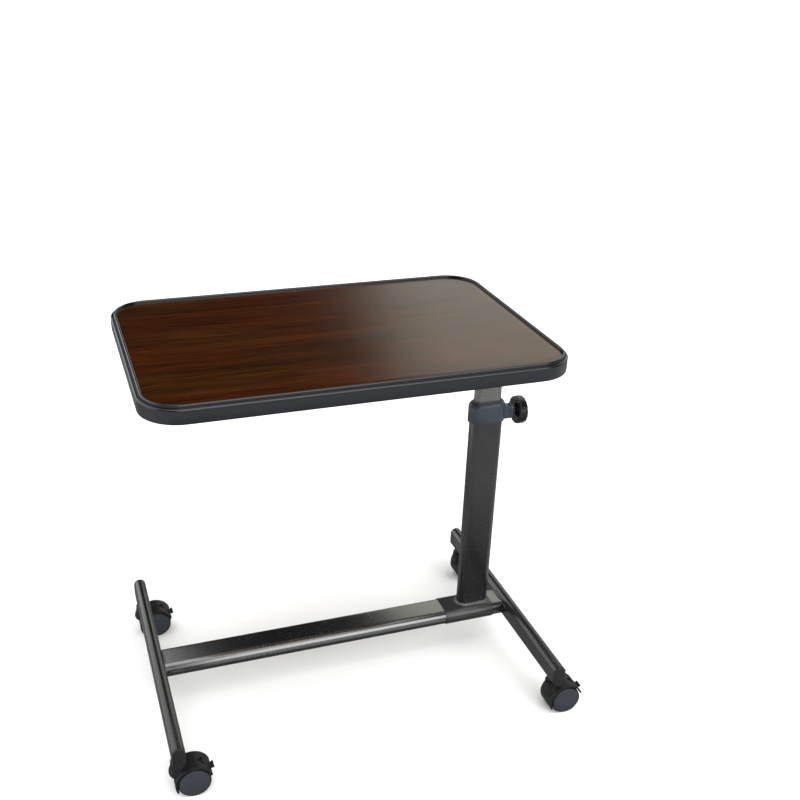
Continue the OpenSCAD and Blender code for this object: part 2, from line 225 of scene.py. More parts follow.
def moved(part, T):
    v, f = part
    return v @ np.array(T)[:3, :3].T + np.array(T)[:3, 3], f


def mesh_of(name, part, angle=35.0):
    v, f = part
    me = bpy.data.meshes.new(name)
    me.from_pydata((np.asarray(v, float) * MM).tolist(), [], [list(x) for x in f])
    clean(me, angle)
    return me


def clean(me, angle=35.0, dissolve=0.0):
    bm = bmesh.new()
    bm.from_mesh(me)
    bmesh.ops.remove_doubles(bm, verts=bm.verts, dist=2e-6)
    if dissolve:
        bmesh.ops.dissolve_limit(bm, angle_limit=rad(dissolve), verts=bm.verts, edges=bm.edges, delimit={"NORMAL"})
    bmesh.ops.dissolve_degenerate(bm, edges=bm.edges, dist=1e-7)
    bmesh.ops.recalc_face_normals(bm, faces=bm.faces)
    bm.to_mesh(me)
    bm.free()
    me.shade_smooth()
    me.set_sharp_from_angle(angle=rad(angle))
    me.update()


def link(name, me):
    ob = bpy.data.objects.new(name, me)
    bpy.context.scene.collection.objects.link(ob)
    return ob


def bake_modifiers(ob, angle=35.0):
    """Turns an object's modifiers into its mesh."""
    dg = bpy.context.evaluated_depsgraph_get()
    dg.update()
    me = bpy.data.meshes.new_from_object(ob.evaluated_get(dg))
    ob.modifiers.clear()
    ob.data = me
    me.shade_smooth()
    me.set_sharp_from_angle(angle=rad(angle))
    return ob


def boolean(ob, parts, op="DIFFERENCE"):
    """Cuts or joins closed parts (vertices in mm, faces) with the object."""
    for i, p in enumerate(parts):
        tool = link("tool_tmp", mesh_of("tool_tmp", p))
        m = ob.modifiers.new("b", "BOOLEAN")
        m.operation, m.solver, m.object = op, "EXACT", tool
        bake_modifiers(ob)
        bpy.data.objects.remove(tool)
    return ob


def bevel(ob, width, segments=2, angle=32.0, shade=35.0):
    m = ob.modifiers.new("bevel", "BEVEL")
    m.width, m.segments, m.limit_method, m.angle_limit = width * MM, segments, "ANGLE", rad(angle)
    m.use_clamp_overlap, m.miter_outer = True, "MITER_ARC"
    bake_modifiers(ob, shade)
    return ob


PIECES = {}


def piece(name, source, mat, slot, *nodes, body=None, angle=35.0):
    """Makes a finished piece that stands for the CAD nodes and rides on their body."""
    ob = source if isinstance(source, bpy.types.Object) else link(name, mesh_of(name, source, angle))
    ob.name = name
    ob.data.name = name
    ob.data.materials.clear()
    ob.data.materials.append(mat)
    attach(ob, body or frame["nodes"][nodes[0]]["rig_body"])
    if nodes:
        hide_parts(*nodes)
    PIECES[name] = ob
    return ob


def refined(node, name, width=0.3, segments=2, angle=30.0, shade=35.0):
    """A new mesh with a CAD node's shape, its flats merged and its edges rounded."""
    me = frame["nodes"][node].data.copy()
    me.name = name
    clean(me, shade, dissolve=0.6)
    ob = link(name, me)
    if width:
        bevel(ob, width, segments, angle, shade)
    return ob


# ------------------------------------------------------------------ material helpers
class Mat:
    def __init__(self, name):
        self.m = bpy.data.materials.new(name)
        self.m.use_nodes = True
        self.nt = self.m.node_tree
        self.b = next(n for n in self.nt.nodes if n.type == "BSDF_PRINCIPLED")
        self.tc = self.nt.nodes.new("ShaderNodeTexCoord")

    def node(self, kind, props=None, **inputs):
        n = self.nt.nodes.new(kind)
        for k, v in (props or {}).items():
            setattr(n, k, v)
        for k, v in inputs.items():
            self.put(n.inputs[k.replace("_", " ")], v)
        return n

    def put(self, socket, v):
        if isinstance(v, bpy.types.NodeSocket):
            self.nt.links.new(v, socket)
        else:
            socket.default_value = v

    def coords(self, scale=(1, 1, 1), loc=(0, 0, 0), rot=(0, 0, 0)):
        n = self.node("ShaderNodeMapping")
        self.put(n.inputs["Vector"], self.tc.outputs["Object"])
        n.inputs["Scale"].default_value = scale
        n.inputs["Location"].default_value = loc
        n.inputs["Rotation"].default_value = rot
        return n.outputs[0]

    def noise(self, scale, detail=3.0, rough=0.5, vec=None, distortion=0.0):
        n = self.node("ShaderNodeTexNoise", None, Scale=scale, Detail=detail, Roughness=rough, Distortion=distortion)
        self.put(n.inputs["Vector"], vec if vec is not None else self.tc.outputs["Object"])
        return n.outputs["Fac"]

    def voronoi(self, scale, feature="F1", out="Distance", vec=None, smooth=None):
        n = self.node("ShaderNodeTexVoronoi", {"feature": feature}, Scale=scale)
        if smooth is not None:
            n.inputs["Smoothness"].default_value = smooth
        self.put(n.inputs["Vector"], vec if vec is not None else self.tc.outputs["Object"])
        return n.outputs[out]

    def ramp(self, fac, stops, interp="LINEAR"):
        n = self.node("ShaderNodeValToRGB")
        self.put(n.inputs["Fac"], fac)
        cr = n.color_ramp
        cr.interpolation = interp
        while len(cr.elements) < len(stops):
            cr.elements.new(0.5)
        for e, (p, c) in zip(cr.elements, stops):
            e.position = p
            e.color = (*c, 1) if hasattr(c, "__len__") else (c, c, c, 1)
        return n.outputs["Color"]

    def math(self, op, a, b=0.0, clamp=False):
        n = self.node("ShaderNodeMath", {"operation": op, "use_clamp": clamp})
        self.put(n.inputs[0], a)
        self.put(n.inputs[1], b)
        return n.outputs[0]

    def mix(self, fac, a, b, blend="MIX"):
        n = self.node("ShaderNodeMix", {"data_type": "RGBA", "blend_type": blend})
        self.put(n.inputs["Factor"], fac)
        for i, v in ((6, a), (7, b)):
            self.put(n.inputs[i], v if isinstance(v, bpy.types.NodeSocket) else (*v, 1))
        return n.outputs[2]

    def rng(self, v, a, b, c, d):
        n = self.node("ShaderNodeMapRange")
        for i, x in enumerate((v, a, b, c, d)):
            self.put(n.inputs[i], x)
        return n.outputs[0]

    def bump(self, height, distance, strength=1.0, normal=None):
        n = self.node("ShaderNodeBump", None, Strength=strength, Distance=distance)
        self.put(n.inputs["Height"], height)
        if normal is not None:
            self.put(n.inputs["Normal"], normal)
        return n.outputs[0]

    def set(self, **kw):
        for k, v in kw.items():
            s = self.b.inputs[k.replace("_", " ")]
            self.put(s, (*v, 1) if isinstance(v, tuple) and len(v) == 3 else v)
        return self.m


def walnut():
    """Dark walnut print: streaks and pores along X under a satin lacquer."""
    m = Mat("walnut")
    warp = m.noise(1.0, 2.0, 0.5, m.coords((2.2, 3.0, 1)))
    cmb = m.node("ShaderNodeCombineXYZ")
    m.put(cmb.inputs[1], m.rng(warp, 0.0, 1.0, -0.012, 0.012))
    vw = m.node("ShaderNodeVectorMath", {"operation": "ADD"})
    m.put(vw.inputs[0], m.tc.outputs["Object"])
    m.put(vw.inputs[1], cmb.outputs[0])

    def drawn(sx, sy, detail, rough, shift):
        mp_ = m.node("ShaderNodeMapping")
        m.put(mp_.inputs["Vector"], vw.outputs[0])
        mp_.inputs["Scale"].default_value = (sx, sy, 1)
        mp_.inputs["Location"].default_value = (*shift, 0)
        return m.noise(1.0, detail, rough, mp_.outputs[0])

    broad = drawn(2.2, 26, 4.0, 0.5, (0.3, 5.1))
    band = drawn(5, 62, 4.0, 0.6, (1.9, 3.3))
    streak = drawn(7, 210, 4.0, 0.68, (3.1, 0.7))
    fine = drawn(20, 560, 3.0, 0.65, (1.7, 2.2))
    pores = drawn(60, 1500, 2.0, 0.5, (0.4, 1.9))
    tone = m.ramp(broad, [(0.28, (0.023, 0.0050, 0.0006)), (0.45, (0.030, 0.0066, 0.0008)), (0.58, (0.036, 0.0080, 0.0010)), (0.74, (0.041, 0.0094, 0.0014))])
    col = m.mix(0.75, tone, m.ramp(band, [(0.34, (0.68, 0.72, 0.74)), (0.50, (1.0, 1.0, 1.0)), (0.66, (1.18, 1.18, 1.18))]), "MULTIPLY")
    col = m.mix(0.9, col, m.ramp(streak, [(0.36, (0.42, 0.46, 0.50)), (0.50, (1.0, 1.0, 1.0)), (0.64, (1.42, 1.36, 1.30))]), "MULTIPLY")
    col = m.mix(0.7, col, m.ramp(fine, [(0.36, (0.50, 0.53, 0.56)), (0.50, (1.03, 1.02, 1.0)), (0.64, (1.35, 1.30, 1.25))]), "MULTIPLY")
    olive = m.rng(drawn(3.4, 9.0, 2.0, 0.5, (7, 3)), 0.48, 0.66, 0.0, 0.7)
    col = m.mix(olive, col, m.mix(1.0, col, (0.82, 1.30, 1.7), "MULTIPLY"))
    col = m.mix(m.rng(pores, 0.62, 0.70, 0.0, 0.5), col, (0.010, 0.0028, 0.0008))
    smudge = m.noise(7.0, 3.0, 0.5, m.coords((1, 1.6, 1), (2, 5, 0)))
    rough = m.math("ADD", m.rng(smudge, 0.3, 0.7, 0.16, 0.20), m.rng(streak, 0.3, 0.7, 0.02, -0.02))
    h = m.math("ADD", m.math("MULTIPLY", pores, -0.5), m.math("MULTIPLY", fine, 0.5))
    return m.set(Base_Color=col, Roughness=rough, Normal=m.bump(h, 0.00004, 0.3), Specular_IOR_Level=0.6)


def board():
    m = Mat("board_core")
    fib = m.noise(1.0, 4.0, 0.6, m.coords((180, 420, 260)))
    spk = m.voronoi(900, "F1", "Color")
    sp = m.node("ShaderNodeSeparateColor")
    m.put(sp.inputs[0], spk)
    base = m.ramp(fib, [(0.32, (0.155, 0.092, 0.05)), (0.52, (0.235, 0.15, 0.085)), (0.70, (0.30, 0.20, 0.12))])
    col = m.mix(m.rng(sp.outputs[0], 0.80, 0.95, 0.0, 0.5), base, (0.10, 0.055, 0.03))
    blot = m.noise(7.0, 3.0)
    col = m.mix(m.rng(blot, 0.35, 0.7, 0.0, 0.35), col, (0.16, 0.10, 0.06))
    return m.set(Base_Color=col, Roughness=m.rng(fib, 0.3, 0.7, 0.72, 0.9), Normal=m.bump(fib, 0.00008, 0.6))


def plastic(name, c0, c1, r0, r1, grain=1400, depth=0.00003, spec=0.5, scuff=0.25, scuff_c=(0.10, 0.10, 0.105)):
    """Moulded plastic with a fine grain, cloudy gloss and faint scuffs."""
    m = Mat(name)
    cloud = m.noise(38, 4.0, 0.55)
    g = m.noise(grain, 2.0, 0.6)
    col = m.mix(m.rng(cloud, 0.3, 0.7, 0.0, 1.0), c0, c1)
    line = m.noise(1.0, 3.0, 0.6, m.coords((60, 60, 900), (1, 2, 3), (0.5, 0.9, 0.3)))
    mask = m.math("MULTIPLY", m.rng(line, 0.60, 0.72, 0.0, 1.0), m.rng(m.noise(14, 2.0), 0.52, 0.66, 0.0, scuff))
    col = m.mix(mask, col, scuff_c)
    rough = m.math("ADD", m.rng(cloud, 0.3, 0.7, r0, r1), m.math("MULTIPLY", mask, 0.25))
    return m.set(Base_Color=col, Roughness=rough, Normal=m.bump(g, depth, 0.5), Specular_IOR_Level=spec)


def powder(name, c0, c1, r0, r1, flake=(0.16, 0.165, 0.175), flake_amt=0.5, metallic=0.0, peel=520, depth=0.00007, spec=0.5, ior=1.5):
    """Powder coat: orange peel, fine metallic flake and rubbed patches."""
    m = Mat(name)
    cloud = m.noise(16, 4.0, 0.5)
    col = m.mix(m.rng(cloud, 0.32, 0.68, 0.0, 1.0), c0, c1)
    v = m.voronoi(1500, "F1", "Color")
    sp = m.node("ShaderNodeSeparateColor")
    m.put(sp.inputs[0], v)
    fl = m.rng(sp.outputs[0], 0.74, 0.98, 0.0, flake_amt)
    col = m.mix(fl, col, flake)
    o = m.noise(peel, 2.0, 0.45)
    sc = m.noise(1.0, 3.0, 0.6, m.coords((500, 30, 30), (5, 1, 2), (0.2, 0.5, 0.8)))
    rub = m.math("MULTIPLY", m.rng(sc, 0.62, 0.72, 0.0, 1.0), m.rng(m.noise(11, 2.0), 0.55, 0.70, 0.0, 0.14))
    col = m.mix(rub, col, flake)
    rough = m.math("ADD", m.rng(cloud, 0.3, 0.7, r0, r1), m.math("MULTIPLY", m.rng(sp.outputs[1], 0.0, 1.0, -1.0, 1.0), 0.05))
    nrm = m.bump(o, depth, 0.6)
    return m.set(Base_Color=col, Roughness=rough, Normal=nrm, Metallic=metallic, Specular_IOR_Level=spec, IOR=ior)


def hammer():
    m = Mat("hammertone")
    cell = m.voronoi(330, "SMOOTH_F1", "Distance", None, 0.6)
    big = m.noise(22, 3.0, 0.5)
    spot = m.noise(300, 3.0, 0.6)
    col = m.mix(m.rng(cell, 0.15, 0.75, 0.0, 1.0), (0.180, 0.180, 0.172), (0.122, 0.122, 0.117))
    col = m.mix(m.rng(big, 0.3, 0.7, 0.0, 0.4), col, (0.114, 0.114, 0.109))
    col = m.mix(m.rng(spot, 0.60, 0.72, 0.0, 0.55), col, (0.05, 0.05, 0.05))
    nrm = m.bump(cell, 0.00025, 0.35)
    nrm = m.bump(spot, 0.00005, 0.4, nrm)
    return m.set(Base_Color=col, Roughness=m.rng(cell, 0.1, 0.7, 0.34, 0.46), Normal=nrm, Metallic=0.35)


def weld():
    m = Mat("weld")
    n = m.noise(420, 3.0, 0.6)
    big = m.noise(60, 3.0)
    # the bead's light silver-grey base colour, far lighter than the charcoal paint around it, is a painted highlight
    # standing for the glints along the bead
    col = m.mix(m.rng(n, 0.35, 0.7, 0.0, 1.0), (0.05, 0.052, 0.056), (0.17, 0.175, 0.185))
    col = m.mix(m.rng(big, 0.45, 0.7, 0.0, 0.45), col, (0.07, 0.07, 0.075))
    return m.set(Base_Color=col, Roughness=m.rng(n, 0.3, 0.7, 0.34, 0.5), Normal=m.bump(n, 0.00012, 0.6), Metallic=0.5)


def zinc():
    m = Mat("zinc")
    n = m.noise(1.0, 3.0, 0.6, m.coords((900, 900, 60)))
    s = m.voronoi(700, "F1", "Color")
    sp = m.node("ShaderNodeSeparateColor")
    m.put(sp.inputs[0], s)
    col = m.mix(m.rng(sp.outputs[0], 0.2, 0.9, 0.0, 1.0), (0.50, 0.505, 0.515), (0.66, 0.665, 0.675))
    col = m.mix(m.rng(m.noise(45, 3.0), 0.55, 0.75, 0.0, 0.4), col, (0.34, 0.32, 0.27))
    return m.set(Base_Color=col, Roughness=m.rng(n, 0.3, 0.7, 0.2, 0.36), Metallic=1.0, Normal=m.bump(n, 0.00003, 0.4))


WALNUT = walnut()
BOARD = board()
EDGE = plastic("edge_pvc", (0.0024, 0.0040, 0.0075), (0.0034, 0.0052, 0.0090), 0.20, 0.23, 1100, 0.000012, 0.85, 0.04)
PAINT = powder("charcoal_powder", (0.0062, 0.0067, 0.0070), (0.0088, 0.0093, 0.0097), 0.22, 0.26, (0.045, 0.048, 0.054), 0.22, 0.0, 620, 0.00004, 1.0)
# the saddle's charcoal powder is a lighter copy of the column's: its coarser peel and higher roughness are the finish,
# while its lighter base colour and stronger flake are a painted sheen
SADDLE = powder("saddle_powder_lit_copy", (0.0105, 0.0107, 0.0112), (0.0145, 0.0148, 0.0153), 0.33, 0.39, (0.08, 0.084, 0.09), 0.35, 0.0, 430, 0.0001, 1.0)
# the cross bar's charcoal powder is a darker copy of the column's: its darker base colour is painted shade that darkens
# the flat top, and its IOR is raised to 2.1 for a brighter highlight
BAR_PAINT = powder("bar_charcoal_shaded_copy", (0.0008, 0.0012, 0.0014), (0.0018, 0.0022, 0.0025), 0.21, 0.25, (0.016, 0.018, 0.022), 0.22, 0.0, 620, 0.00004, 1.0, 2.1)
HAMMER = hammer()
WELD = weld()
BLACK = plastic("cap_black", (0.0085, 0.0087, 0.0093), (0.0125, 0.0128, 0.0135), 0.32, 0.40, 1200, 0.00003, 0.5, 0.15)
BUSH = plastic("bush_grey", (0.030, 0.030, 0.032), (0.042, 0.042, 0.044), 0.42, 0.5, 1200, 0.00003)
COLLAR = plastic("collar_slate", (0.027, 0.036, 0.049), (0.036, 0.047, 0.062), 0.34, 0.40, 1000, 0.00004, 0.5, 0.12)
KNOB = plastic("knob_gloss", (0.0040, 0.0040, 0.0044), (0.0060, 0.0060, 0.0064), 0.13, 0.18, 900, 0.00001, 0.55, 0.08)
HOOD = plastic("hood_black", (0.0085, 0.0090, 0.0096), (0.0115, 0.0121, 0.0128), 0.40, 0.46, 1300, 0.00003, 0.25, 0.10)
NYLON = plastic("pad_nylon", (0.55, 0.53, 0.45), (0.63, 0.61, 0.53), 0.4, 0.5, 900, 0.00003, 0.4, 0.2, (0.3, 0.29, 0.25))
STEM = powder("black_steel", (0.0105, 0.0105, 0.011), (0.016, 0.016, 0.0165), 0.34, 0.42, (0.06, 0.06, 0.062), 0.3, 0.3)
ZINC = zinc()


def wheels():
    """Slate cover disc; the tread and rim are black by a vertex value: a black tyre, also kept dark and low in specular
    as painted shade for the gap under the hood.
    """
    m = Mat("wheel_slate")
    cloud = m.noise(60, 3.0, 0.5)
    disc = m.mix(m.rng(cloud, 0.3, 0.7, 0.0, 1.0), (0.023, 0.0265, 0.034), (0.028, 0.032, 0.040))
    at_ = m.node("ShaderNodeAttribute", {"attribute_name": "tread"})
    # the tread value turns the tread and rim black and cuts their specular: black tyre plus painted shade for the gap
    # under the hood
    col = m.mix(at_.outputs["Fac"], disc, m.mix(m.rng(cloud, 0.3, 0.7, 0.0, 1.0), (0.008, 0.0082, 0.0088), (0.013, 0.0133, 0.014)))
    return m.set(Base_Color=col, Roughness=m.rng(cloud, 0.3, 0.7, 0.42, 0.48), Normal=m.bump(m.noise(1300, 2.0, 0.6), 0.00003, 0.4), Specular_IOR_Level=m.rng(at_.outputs["Fac"], 0.0, 1.0, 0.4, 0.12))


WHEEL = wheels()

# ------------------------------------------------------------------ table top
rim = rrect_o(TOP_L, TOP_W, 57, 26, 6, 4)
P0, N0 = rim
cut = next(i for i in range(len(P0)) if abs(P0[i][1] - TOP_W / 2) < 1e-6 and P0[i][0] < 40)   # the strip's ends meet at the back
P0, N0 = np.roll(P0, -cut, 0), np.roll(N0, -cut, 0)
P0, N0 = np.vstack([P0, P0[:1]]), np.vstack([N0, N0[:1]])
P0[0, 0] -= 0.12
P0[-1, 0] += 0.12
SEAT = 19.2                     # rebate in the core's edge that takes the lip
mp = (arcp(1.2 + 0.3, 1.2, 1.2, 270, 190, 5) + [(0.3 - 0.3 * (1 - ((z - 10) / 8.6) ** 2), z) for z in (2.2, 4, 6, 8, 10, 12, 14, 15.6, 17, 18.2)]
      + arcp(2.62, 19.0, 2.6, 172, 52, 12) + [(4.4, 20.92), (4.52, 20.86), (4.64, 20.92), (4.75, 21.2), (4.86, 21.9)]
      + arcp(6.9, 24.0, 2.0, 180, 0, 16) + [(8.94, SEAT + 1.5), (9.02, SEAT + 1.1), (9.12, SEAT + 0.7), (9.2, SEAT + 0.4), (9.2, SEAT + 0.1), (9.1, SEAT)]
      + [(3, SEAT), (3, 13.4), (4.2, 13.4), (4.9, 13.9), (5.4, 13.35), (6.6, 13.3), (7.2, 13.8), (7.8, 13.25), (11, 13.2), (11, 11.4), (3, 11.2), (3, 0.3), (2.7, 0)])
rings = [ring((P0, N0), u, RIM_Z0 + z, "z", (TX, 0, 0)) for u, z in mp]
piece("edge_moulding_strip", skin(rings, closed=True, ring_closed=False), EDGE, "edge_pvc", "edge_moulding", angle=38)

bo = rrect_o(TOP_L - 6, TOP_W - 6, 54, 20)
lo_ = rrect_o(TOP_L - 18.6, TOP_W - 18.6, 47.7, 20)
lam = loft(lo_, [(0, LAM_Z), (0, SURF_Z - 0.12), (0.04, SURF_Z - 0.03), (0.14, SURF_Z), (12, SURF_Z), (30, SURF_Z)], "z", (TX, 0, 0))
piece("laminate_sheet", lam, WALNUT, "walnut_laminate", "top_laminate")
core = loft(bo, [(0.3, CORE_Z), (0.05, CORE_Z + 0.25), (0.05, RIM_Z0 + 11.0), (8.4, RIM_Z0 + 11.0), (8.4, RIM_Z0 + 13.6), (0.05, RIM_Z0 + 13.6), (0.05, RIM_Z0 + SEAT - 0.02), (6.3, RIM_Z0 + SEAT - 0.02), (6.3, LAM_Z - 0.02)], "z", (TX, 0, 0))
piece("core_board", core, BOARD, "board_core", "top_core")

# screws into the board through the two cross straps
SX = [((mmbox("cross_straps")[0][0]) + 15, ), ((mmbox("cross_straps")[1][0]) - 15, )]
SX = [s[0] for s in SX]
screw_xy = [(x, y) for x in SX for y in (-150, -55, 55, 150)]
strap_z0, strap_z1 = CORE_Z - 3.0, CORE_Z
straps = []
for x in SX:
    o = rrect_o(30, 340, 6, 8)
    straps.append(loft(o, [(0.9, strap_z0), (0.35, strap_z0 + 0.12), (0.05, strap_z0 + 0.5), (0, strap_z0 + 0.9), (0, strap_z1 - 0.05)], "z", (x, 0, 0)))
sob = link("cross_strap_pair", mesh_of("cross_strap_pair", join(*straps)))
boolean(sob, [join(*[revolve([(2.4, strap_z0 - 1), (2.4, strap_z1 + 1)], 32, "z", (x, y, 0)) for x, y in screw_xy])])
piece("cross_strap_pair", sob, PAINT, "charcoal_powder", "cross_straps")


def cross_cut(at, h0, h1, span=4.4, slotw=0.85):
    """A cross recess with tapered arms."""
    parts = []
    for k in (0, 1):
        a = span / 2
        box = [(-a, -slotw / 2), (a, -slotw / 2), (a, slotw / 2), (-a, slotw / 2)]
        base = np.array([(x, y, h0) for x, y in box])
        tip = np.array([(x * 0.55, y * 0.7, h1) for x, y in box])
        v = np.vstack([base, tip])
        if k:
            v = np.stack([v[:, 1], v[:, 0], v[:, 2]], 1)
        f = [(0, 1, 2, 3), (7, 6, 5, 4), (0, 4, 5, 1), (1, 5, 6, 2), (2, 6, 7, 3), (3, 7, 4, 0)]
        parts.append((v + np.array(at), f))
    return parts


head = [(0.0, -2.38), (1.0, -2.34), (1.9, -2.18), (2.75, -1.85), (3.4, -1.3), (3.75, -0.7), (3.9, -0.15), (3.9, 0), (2.0, 0), (2.0, 10.2), (1.6, 11.6), (0.4, 13.0), (0, 13.0)]
one = link("screw_tmp", mesh_of("screw_tmp", revolve(head, 32)))
for p in cross_cut((0, 0, 0), -3.0, -0.9):
    boolean(one, [p])
bevel(one, 0.07, 1, 40)
sv = np.array([v.co for v in one.data.vertices]) * 1000
sf = [tuple(p.vertices) for p in one.data.polygons]
bpy.data.objects.remove(one)
screws = []
for i, (x, y) in enumerate(screw_xy):
    a = rad(17 + 53 * i)
    R = Matrix.Rotation(a, 4, "Z")
    screws.append(moved((sv, sf), Matrix.Translation((x, y, strap_z0)) @ R))
piece("strap_screw_set", join(*screws), ZINC, "zinc_steel", "strap_screws", angle=30)

ro = rrect_o(RAIL_W, RAIL_Z1 - RAIL_Z0, 3, 8)
rz = (RAIL_Z0 + RAIL_Z1) / 2
piece("under_top_rail", tube(ro, WALL, RAIL_X0, RAIL_X1, "x", (0, 0, rz), 0.3), PAINT, "charcoal_powder", "support_rail")
caps = []
for x, s in ((RAIL_X0, -1), (RAIL_X1, 1)):
    prof = [(0, 0.02), (0, 0.9), (0.25, 1.45), (0.75, 1.85), (1.4, 2.0), (6.0, 2.0), (6.6, 1.7), (7.2, 1.6)]
    flange = loft(ro, [(d, x + s * h) for d, h in prof], "x", (0, 0, rz))
    plug_o = rrect_o(RAIL_W - 2 * WALL - 0.2, RAIL_Z1 - RAIL_Z0 - 2 * WALL - 0.2, 1.5, 6)
    plug = loft(plug_o, [(0, x), (0, x - s * 11), (0.6, x - s * 12), (2, x - s * 12), (2, x)], "x", (0, 0, rz), closed=True)
    caps += [flange, plug]
piece("rail_cap_pair", join(*caps), BLACK, "black_plastic", "rail_end_caps")


# ------------------------------------------------------------------ column
def bead(o, s, z0, up=1, at=(0, 0, 0), axis="z", n=6, pitch=2.1, seed=0.0):
    """A rippled fillet weld of leg s round an outline."""
    P, N = o
    Q = np.vstack([P, P[:1]])
    t = np.concatenate([[0], np.cumsum(np.linalg.norm(np.diff(Q, axis=0), axis=1))])[:-1]
    total = t[-1] + np.linalg.norm(P[0] - P[-1])
    k = max(1, round(total / pitch))
    ph = t / total * k
    ripple = np.abs(np.sin(np.pi * ph)) ** 0.8
    wob = 0.5 * np.sin(2 * np.pi * t / total * 3 + 1.3 + seed) + 0.3 * np.sin(2 * np.pi * t / total * 7 + 0.4 + seed) + 0.2 * np.sin(2 * np.pi * t / total * 13 + 2.2 + seed)
    f = 0.86 + 0.10 * ripple + 0.04 * wob
    rows = [ring(o, 0.5, z0 - up * 0.3, axis, at)]
    rows.append(ring(o, -s * f, z0 - up * 0.3, axis, at))
    for i in range(n + 1):
        a = rad(90 * i / n)
        kk = 1 - 0.22 * math.sin(2 * a)
        rows.append(ring(o, -s * f * math.cos(a) * kk + (0.3 if i == n else 0), z0 + up * s * f * math.sin(a) * kk, axis, at))
    rows.append(ring(o, 0.5, z0 + up * s * f, axis, at))
    return skin(rows, closed=True)


mast_o = oval_o(MAST_A, MAST_B, 28)
piece("mast_tube", tube(mast_o, WALL, MAST_Z0, MAST_Z1, "z", (CX, 0, 0), 0.3), HAMMER, "grey_hammertone", "inner_mast")
piece("mast_weld_bead", bead(even_o(mast_o, 300), 3.5, MAST_Z1, -1, (CX, 0, 0), seed=0.7), WELD, "weld_bead", "mast_weld", angle=50)
po = oval_o(COL_A - 2 * WALL - 0.6, COL_B - 2 * WALL - 0.6, 24)
pi = oval_o(MAST_A - 2 * WALL - 0.2, MAST_B - 2 * WALL - 0.2, 24)
z = MAST_Z0
foot_plug = skin([ring(po, 0.6, z - 2.5, "z", (CX, 0, 0)), ring(po, 0, z - 1.9, "z", (CX, 0, 0)), ring(po, 0, z - 0.4, "z", (CX, 0, 0)), ring(po, 0.4, z, "z", (CX, 0, 0)),
                  ring(pi, 0, z, "z", (CX, 0, 0)), ring(pi, 0, z + 21, "z", (CX, 0, 0)), ring(pi, 0.7, z + 22, "z", (CX, 0, 0)), ring(pi, 2, z + 22, "z", (CX, 0, 0)), ring(pi, 2, z, "z", (CX, 0, 0))])
piece("mast_glide_plug", foot_plug, BLACK, "black_plastic", "mast_foot_plug")

col_o = oval_o(COL_A, COL_B, 32)
col = link("column_tube", mesh_of("column_tube", tube(col_o, WALL, COL_Z0, COL_Z1, "z", (CX, 0, 0), 0.35)))
boolean(col, [revolve([(6.3, CX + 20), (6.3, CX + 40)], 48, "x", (0, 0, CLAMP_Z))])
piece("column_tube", col, PAINT, "charcoal_powder", "outer_column")

bu_out = oval_o(COL_A - 2 * WALL - 0.2, COL_B - 2 * WALL - 0.2, 28)
bu_top = oval_o(MAST_A + 3.0, MAST_B + 3.0, 28)
bu_in = oval_o(MAST_A + 0.6, MAST_B + 0.6, 28)
zt = mmbox("column_bush")[1][2]
at = (CX, 0, 0)
bush = skin([ring(bu_out, 0.3, COL_Z1 - 34, "z", at), ring(bu_out, 0, COL_Z1 - 33.4, "z", at), ring(bu_out, 0, COL_Z1 + 0.02, "z", at), ring(bu_top, 0, COL_Z1 + 0.02, "z", at),
             ring(bu_top, 0, zt - 0.5, "z", at), ring(bu_top, 0.15, zt - 0.15, "z", at), ring(bu_top, 0.5, zt, "z", at), ring(bu_in, -0.35, zt, "z", at), ring(bu_in, 0, zt - 0.35, "z", at), ring(bu_in, 0, COL_Z1 - 34, "z", at)], closed=True)
bob = link("column_bush_sleeve", mesh_of("column_bush_sleeve", bush))
boolean(bob, [revolve([(6.3, CX + 18), (6.3, CX + 40)], 40, "x", (0, 0, CLAMP_Z))])
piece("column_bush_sleeve", bob, BUSH, "bush_plastic", "column_bush")

# collar: a band with a sloped shoulder and a square boss for the clamp screw
cz0 = mmbox("column_collar")[0][2]
cz1 = mmbox("column_collar")[1][2]
c_o = oval_o(COL_A + 6, COL_B + 6, 36)
inner = oval_o(COL_A + 0.1, COL_B + 0.1, 36)
mouth = oval_o(MAST_A + 3.2, MAST_B + 3.2, 36)
sh = cz1 - (COL_Z1 - 3.0)
prof = [(0.7, cz0), (0.2, cz0 + 0.2), (0, cz0 + 0.7), (0, COL_Z1 - 3.5), (0.12, COL_Z1 - 2.9), (0.5, COL_Z1 - 2.4)]
band = [ring(c_o, d, h, "z", at) for d, h in prof]
band += [ring(c_o, 2.5, cz1 - 0.55, "z", at), ring(c_o, 3.0, cz1 - 0.12, "z", at), ring(c_o, 3.6, cz1, "z", at)]
band += [ring(mouth, -0.5, cz1, "z", at), ring(mouth, 0, cz1 - 0.5, "z", at), ring(mouth, 0, COL_Z1 + 0.1, "z", at), ring(inner, 0.0, COL_Z1 + 0.1, "z", at), ring(inner, 0, cz0 + 0.5, "z", at), ring(inner, -0.5, cz0, "z", at)]
coll = link("collar_clamp", mesh_of("collar_clamp", skin(band, closed=True)))
boss_o = rrect_o(18, 23, 5, 10)
bp = [(0, CX + COL_A / 2 + 0.3), (0, CX + 36.9), (0.3, CX + 37.3), (1.0, CX + 37.4), (1.0, CX + 38.8), (0.3, CX + 38.9), (0, CX + 39.3), (0, CX + 45.2), (0.25, CX + 45.75), (0.8, CX + 46)]
boolean(coll, [loft(boss_o, bp, "x", (0, 0, CLAMP_Z))], "UNION")
hexo = [(13.2 / 2 / math.cos(rad(30)) * math.cos(rad(60 * i)), 13.2 / 2 / math.cos(rad(30)) * math.sin(rad(60 * i))) for i in range(6)]
hex_cut = skin([np.array([(x, a, b + CLAMP_Z) for a, b in hexo]) for x in (CX + 38.95, CX + 48)])
